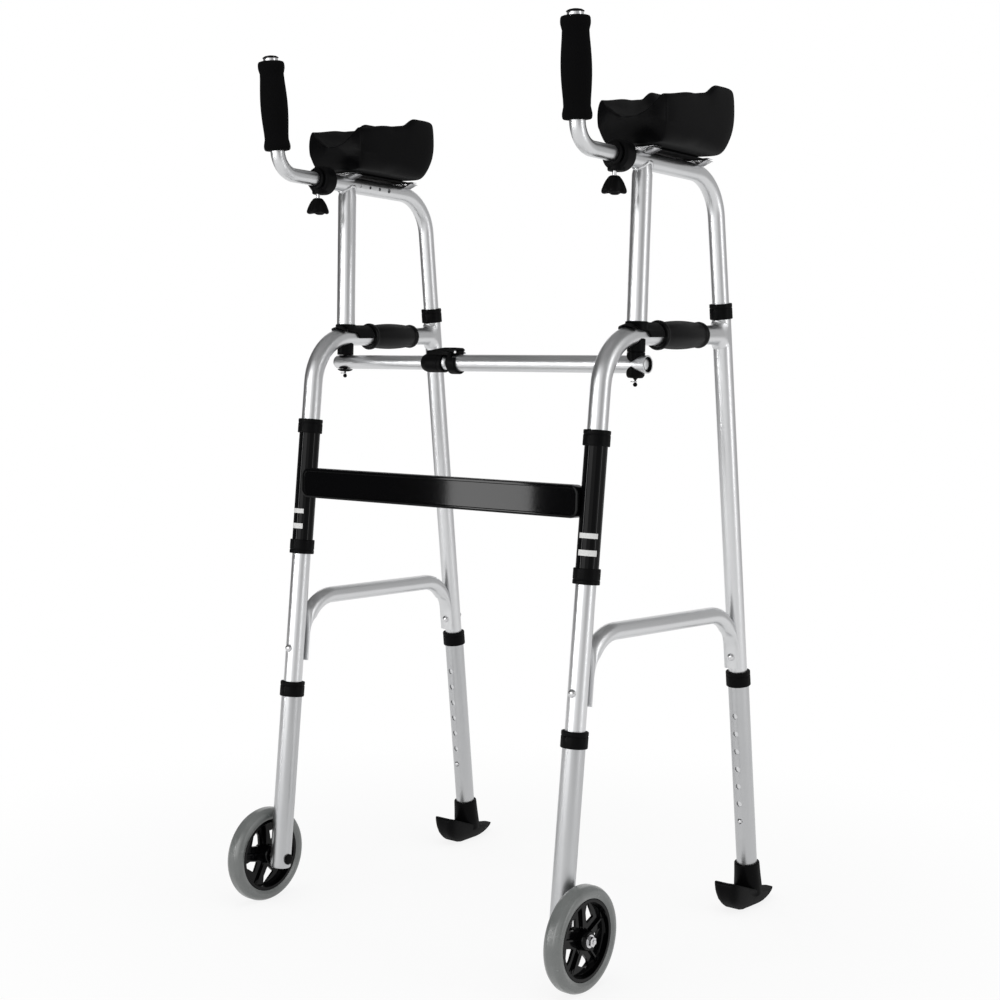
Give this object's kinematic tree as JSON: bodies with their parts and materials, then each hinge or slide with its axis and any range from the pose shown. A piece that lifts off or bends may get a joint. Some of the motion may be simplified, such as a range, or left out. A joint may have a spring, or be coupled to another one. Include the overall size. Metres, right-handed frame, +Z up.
{
  "type": "two-wheeled walker",
  "caption": "Folding forearm walker: bent-tube side frames, front crossbar, clipped cross tubes, gutter pads, upright grips, front wheels, rear glide feet and adjustable lower legs.",
  "frame": {"origin": "on the floor under the middle of the walker's bounding box", "axes": "+Z up, -Y toward the front where the wheels and upright handles are, +X toward the side named right"},
  "size_m": [0.5914, 0.5485, 1.1339],
  "materials": {
    "aluminium": "satin anodised",
    "gloss_black": "gloss",
    "matt_black": "matt",
    "pad_black": "semi-matt moulded skin",
    "foam_black": "matt foam",
    "tyre_grey": "matt",
    "steel": "satin"
  },
  "bodies": {
    "front": {"front_brace": "gloss_black", "sleeve_top_collar_left": "matt_black", "sleeve_top_collar_right": "matt_black", "sleeve_bottom_collar_left": "matt_black", "sleeve_bottom_collar_right": "matt_black"},
    "left_side": {"front_frame_tube_left": "aluminium", "rear_upright_left": "aluminium", "rear_top_collar_left": "matt_black", "side_brace_left": "aluminium", "forearm_frame_left": "aluminium", "pivot_bracket_left": "matt_black", "hand_grip_left": "matt_black", "pad_left": "pad_black", "pad_mount_left": "steel", "handle_clamp_left": "matt_black"},
    "left_bar": {"cross_tube_left": "aluminium", "pivot_pin_left": "matt_black", "clip_socket": "matt_black"},
    "left_front_leg": {"front_extension_left": "aluminium", "front_collar_left": "matt_black", "axle_left": "steel"},
    "left_rear_leg": {"rear_extension_left": "aluminium", "rear_collar_left": "matt_black", "foot_left": "matt_black"},
    "left_wheel": {"tyre_left": "tyre_grey", "rim_left": "gloss_black"},
    "left_front_button": {"front_button_left": "steel"},
    "left_rear_button": {"rear_button_left": "steel"},
    "left_bush": {"handle_bush_left": "matt_black"},
    "left_handle": {"handle_tube_left": "aluminium", "foam_grip_left": "foam_black"},
    "left_knob": {"wing_knob_left": "matt_black"},
    "right_side": {"front_frame_tube_right": "aluminium", "rear_upright_right": "aluminium", "rear_top_collar_right": "matt_black", "side_brace_right": "aluminium", "forearm_frame_right": "aluminium", "pivot_bracket_right": "matt_black", "hand_grip_right": "matt_black", "pad_right": "pad_black", "pad_mount_right": "steel", "handle_clamp_right": "matt_black"},
    "right_bar": {"cross_tube_right": "aluminium", "pivot_pin_right": "matt_black", "clip_collar": "matt_black"},
    "right_front_leg": {"front_extension_right": "aluminium", "front_collar_right": "matt_black", "axle_right": "steel"},
    "right_rear_leg": {"rear_extension_right": "aluminium", "rear_collar_right": "matt_black", "foot_right": "matt_black"},
    "right_wheel": {"tyre_right": "tyre_grey", "rim_right": "gloss_black"},
    "right_front_button": {"front_button_right": "steel"},
    "right_rear_button": {"rear_button_right": "steel"},
    "right_bush": {"handle_bush_right": "matt_black"},
    "right_handle": {"handle_tube_right": "aluminium", "foam_grip_right": "foam_black"},
    "right_knob": {"wing_knob_right": "matt_black"},
    "latch": {"latch_lever": "matt_black"}
  },
  "joints": [
    {"name": "left_fold", "type": "hinge", "parent": "front", "child": "left_side", "pos_m": [-0.23546, -0.1707, 0.5742], "axis": [0.0031, -0.0787, -0.9969], "range_deg": [0, 48]},
    {"name": "left_bar_swing", "type": "hinge", "parent": "left_side", "child": "left_bar", "pos_m": [-0.24059, -0.0925, 0.739], "axis": [0, 0, 1], "range_deg": [0, 86]},
    {"name": "left_front_leg_slide", "type": "slide", "parent": "left_side", "child": "left_front_leg", "axis": [0.0031, -0.0787, -0.9969], "range_m": [0, 0.15]},
    {"name": "left_rear_leg_slide", "type": "slide", "parent": "left_side", "child": "left_rear_leg", "axis": [-0.0058, 0.1462, -0.9892], "range_m": [0, 0.15]},
    {"name": "left_wheel_spin", "type": "hinge", "parent": "left_front_leg", "child": "left_wheel", "pos_m": [-0.2634, -0.21103, 0.06296], "axis": [1, 0, 0], "continuous": true},
    {"name": "left_front_button_press", "type": "slide", "parent": "left_side", "child": "left_front_button", "axis": [-0.0002, -0.9969, 0.0787], "range_m": [0, 0.0033], "stiffness_N_per_m": 400, "springref_m": -0.004},
    {"name": "left_rear_button_press", "type": "slide", "parent": "left_side", "child": "left_rear_button", "axis": [0.0009, 0.9893, 0.1462], "range_m": [0, 0.0033], "stiffness_N_per_m": 400, "springref_m": -0.004},
    {"name": "left_handle_turn", "type": "hinge", "parent": "left_side", "child": "left_bush", "pos_m": [-0.24124, -0.1565, 0.984], "axis": [-0.015, 0.9999, 0], "range_deg": [-45, 45]},
    {"name": "left_handle_slide", "type": "slide", "parent": "left_bush", "child": "left_handle", "axis": [0.015, -0.9999, 0], "range_m": [-0.035, 0.04]},
    {"name": "left_knob_turn", "type": "hinge", "parent": "left_side", "child": "left_knob", "pos_m": [-0.24132, -0.151, 0.9585], "axis": [0, 0, 1], "range_deg": [0, 360]},
    {"name": "right_fold", "type": "hinge", "parent": "front", "child": "right_side", "pos_m": [0.23546, -0.1707, 0.5742], "axis": [0.0031, 0.0787, 0.9969], "range_deg": [0, 80]},
    {"name": "right_bar_swing", "type": "hinge", "parent": "right_side", "child": "right_bar", "pos_m": [0.24059, -0.0925, 0.739], "axis": [0, 0, -1], "range_deg": [0, 80]},
    {"name": "right_front_leg_slide", "type": "slide", "parent": "right_side", "child": "right_front_leg", "axis": [-0.0031, -0.0787, -0.9969], "range_m": [0, 0.15]},
    {"name": "right_rear_leg_slide", "type": "slide", "parent": "right_side", "child": "right_rear_leg", "axis": [0.0058, 0.1462, -0.9892], "range_m": [0, 0.15]},
    {"name": "right_wheel_spin", "type": "hinge", "parent": "right_front_leg", "child": "right_wheel", "pos_m": [0.2634, -0.21103, 0.06296], "axis": [1, 0, 0], "continuous": true},
    {"name": "right_front_button_press", "type": "slide", "parent": "right_side", "child": "right_front_button", "axis": [0.0002, -0.9969, 0.0787], "range_m": [0, 0.0033], "stiffness_N_per_m": 400, "springref_m": -0.004},
    {"name": "right_rear_button_press", "type": "slide", "parent": "right_side", "child": "right_rear_button", "axis": [-0.0009, 0.9893, 0.1462], "range_m": [0, 0.0033], "stiffness_N_per_m": 400, "springref_m": -0.004},
    {"name": "right_handle_turn", "type": "hinge", "parent": "right_side", "child": "right_bush", "pos_m": [0.24124, -0.1565, 0.984], "axis": [-0.015, -0.9999, 0], "range_deg": [-45, 45]},
    {"name": "right_handle_slide", "type": "slide", "parent": "right_bush", "child": "right_handle", "axis": [-0.015, -0.9999, 0], "range_m": [-0.035, 0.04]},
    {"name": "right_knob_turn", "type": "hinge", "parent": "right_side", "child": "right_knob", "pos_m": [0.24132, -0.151, 0.9585], "axis": [0, 0, 1], "range_deg": [0, 360]},
    {"name": "latch_lift", "type": "hinge", "parent": "right_bar", "child": "latch", "pos_m": [-0.0365, -0.0925, 0.753], "axis": [0, 1, 0], "range_deg": [0, 15]}
  ]
}
